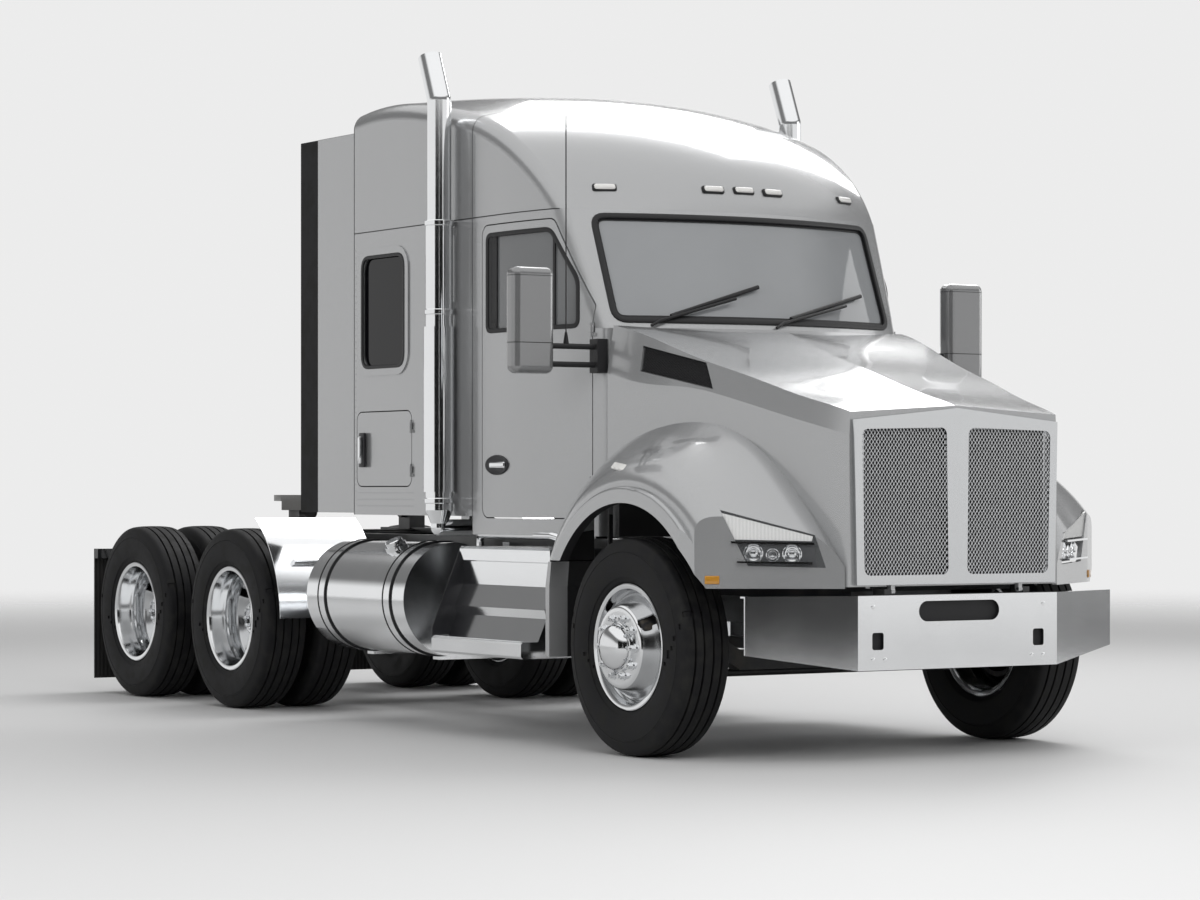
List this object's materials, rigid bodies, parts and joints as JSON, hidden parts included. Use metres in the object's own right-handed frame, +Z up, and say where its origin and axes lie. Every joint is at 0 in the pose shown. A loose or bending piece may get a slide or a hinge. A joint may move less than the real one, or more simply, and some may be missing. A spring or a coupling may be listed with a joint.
{
  "type": "semi truck tractor unit",
  "caption": "Conventional road tractor with a tilting hood, high-roof sleeper cab, steered front axle, tandem dual drive wheels and a rocking fifth wheel.",
  "frame": {"origin": "on the ground, in the middle of the vehicle's length and width", "axes": "+Z up, -Y towards the nose, +X towards the driver's left side"},
  "size_m": [2.924, 7.245, 3.5943],
  "materials": {
    "frame_paint": "satin",
    "axle_paint": "satin",
    "body_paint": "gloss",
    "polished": "polished",
    "alloy": "polished",
    "tyre": "matt",
    "rubber": "matt",
    "glass": "clear",
    "lamp": "clear",
    "engine_paint": "satin",
    "core": "matt",
    "trim": "matt",
    "cloth": "woven",
    "coupler": "greased"
  },
  "bodies": {
    "chassis_and_cab": {"frame_rails": "frame_paint", "front_axle": "axle_paint", "suspension": "axle_paint", "drive_axles": "axle_paint", "engine_block": "engine_paint", "radiator": "core", "cab_shell": "body_paint", "windshield": "glass", "sleeper_shell": "body_paint", "sleeper_windows": "glass", "roof_cap": "body_paint", "side_extenders": "body_paint", "extender_edges": "rubber", "front_bumper": "polished", "steps": "alloy", "fender_tails": "body_paint", "fuel_tanks": "alloy", "exhaust_stacks": "polished", "quarter_fenders": "polished", "mud_flaps": "rubber", "mirrors": "body_paint", "fifth_wheel_base": "frame_paint", "seats": "cloth", "bunk": "cloth", "dashboard": "trim"},
    "hood": {"hood_shell": "body_paint", "headlamps": "lamp", "grille": "polished"},
    "knuckle_left": {"steering_knuckle_left": "axle_paint"},
    "knuckle_right": {"steering_knuckle_right": "axle_paint"},
    "tie_rod": {"tie_rod": "axle_paint"},
    "front_wheel_left": {"front_tyre_left": "tyre", "front_wheel_left": "alloy"},
    "front_wheel_right": {"front_tyre_right": "tyre", "front_wheel_right": "alloy"},
    "door_left": {"door_left": "body_paint", "door_glass_left": "glass"},
    "door_right": {"door_right": "body_paint", "door_glass_right": "glass"},
    "luggage_door_left": {"luggage_door_left": "body_paint"},
    "luggage_door_right": {"luggage_door_right": "body_paint"},
    "fifth_wheel": {"fifth_wheel_plate": "coupler"},
    "drive_wheels_fore_left": {"drive_tyres_fore_left": "tyre", "drive_wheels_fore_left": "alloy"},
    "drive_wheels_fore_right": {"drive_tyres_fore_right": "tyre", "drive_wheels_fore_right": "alloy"},
    "drive_wheels_aft_left": {"drive_tyres_aft_left": "tyre", "drive_wheels_aft_left": "alloy"},
    "drive_wheels_aft_right": {"drive_tyres_aft_right": "tyre", "drive_wheels_aft_right": "alloy"}
  },
  "joints": [
    {"name": "hood_tilt", "type": "hinge", "parent": "chassis_and_cab", "child": "hood", "pos_m": [0, -3.5975, 0.806], "axis": [1, 0, 0], "range_deg": [0, 75]},
    {"name": "steer_left", "type": "hinge", "parent": "chassis_and_cab", "child": "knuckle_left", "pos_m": [0.88, -2.5775, 0.526], "axis": [0, 0, 1], "range_deg": [-36, 36]},
    {"name": "steer_right", "type": "hinge", "parent": "chassis_and_cab", "child": "knuckle_right", "pos_m": [-0.88, -2.5775, 0.526], "axis": [0, 0, 1], "range_deg": [-36, 36]},
    {"name": "tie_rod_end", "type": "hinge", "parent": "knuckle_left", "child": "tie_rod", "pos_m": [0.88, -2.3725, 0.378], "axis": [0, 0, 1], "range_deg": [-36, 36]},
    {"name": "front_wheel_left_spin", "type": "hinge", "parent": "knuckle_left", "child": "front_wheel_left", "pos_m": [1.07, -2.5775, 0.526], "axis": [1, 0, 0], "continuous": true},
    {"name": "front_wheel_right_spin", "type": "hinge", "parent": "knuckle_right", "child": "front_wheel_right", "pos_m": [-1.07, -2.5775, 0.526], "axis": [1, 0, 0], "continuous": true},
    {"name": "door_left_hinge", "type": "hinge", "parent": "chassis_and_cab", "child": "door_left", "pos_m": [0.94575, -1.8685, 1.7], "axis": [0, 0, -1], "range_deg": [0, 62]},
    {"name": "door_right_hinge", "type": "hinge", "parent": "chassis_and_cab", "child": "door_right", "pos_m": [-0.94575, -1.8685, 1.7], "axis": [0, 0, 1], "range_deg": [0, 62]},
    {"name": "luggage_door_left_hinge", "type": "hinge", "parent": "chassis_and_cab", "child": "luggage_door_left", "pos_m": [1.056, -0.2045, 1.5], "axis": [0, 0, -1], "range_deg": [0, 90]},
    {"name": "luggage_door_right_hinge", "type": "hinge", "parent": "chassis_and_cab", "child": "luggage_door_right", "pos_m": [-1.056, -0.2045, 1.5], "axis": [0, 0, 1], "range_deg": [0, 90]},
    {"name": "fifth_wheel_rock", "type": "hinge", "parent": "chassis_and_cab", "child": "fifth_wheel", "pos_m": [0, 2.3825, 1.15], "axis": [1, 0, 0], "range_deg": [-12, 12]},
    {"name": "drive_wheels_fore_left_spin", "type": "hinge", "parent": "chassis_and_cab", "child": "drive_wheels_fore_left", "pos_m": [0.914, 1.7225, 0.526], "axis": [1, 0, 0], "continuous": true},
    {"name": "drive_wheels_fore_right_spin", "type": "hinge", "parent": "chassis_and_cab", "child": "drive_wheels_fore_right", "pos_m": [-0.914, 1.7225, 0.526], "axis": [1, 0, 0], "continuous": true},
    {"name": "drive_wheels_aft_left_spin", "type": "hinge", "parent": "chassis_and_cab", "child": "drive_wheels_aft_left", "pos_m": [0.914, 3.0425, 0.526], "axis": [1, 0, 0], "continuous": true},
    {"name": "drive_wheels_aft_right_spin", "type": "hinge", "parent": "chassis_and_cab", "child": "drive_wheels_aft_right", "pos_m": [-0.914, 3.0425, 0.526], "axis": [1, 0, 0], "continuous": true}
  ],
  "couplings": [
    {"joint": "steer_right", "follows": "steer_left", "ratio": 1},
    {"joint": "tie_rod_end", "follows": "steer_left", "ratio": -1}
  ]
}
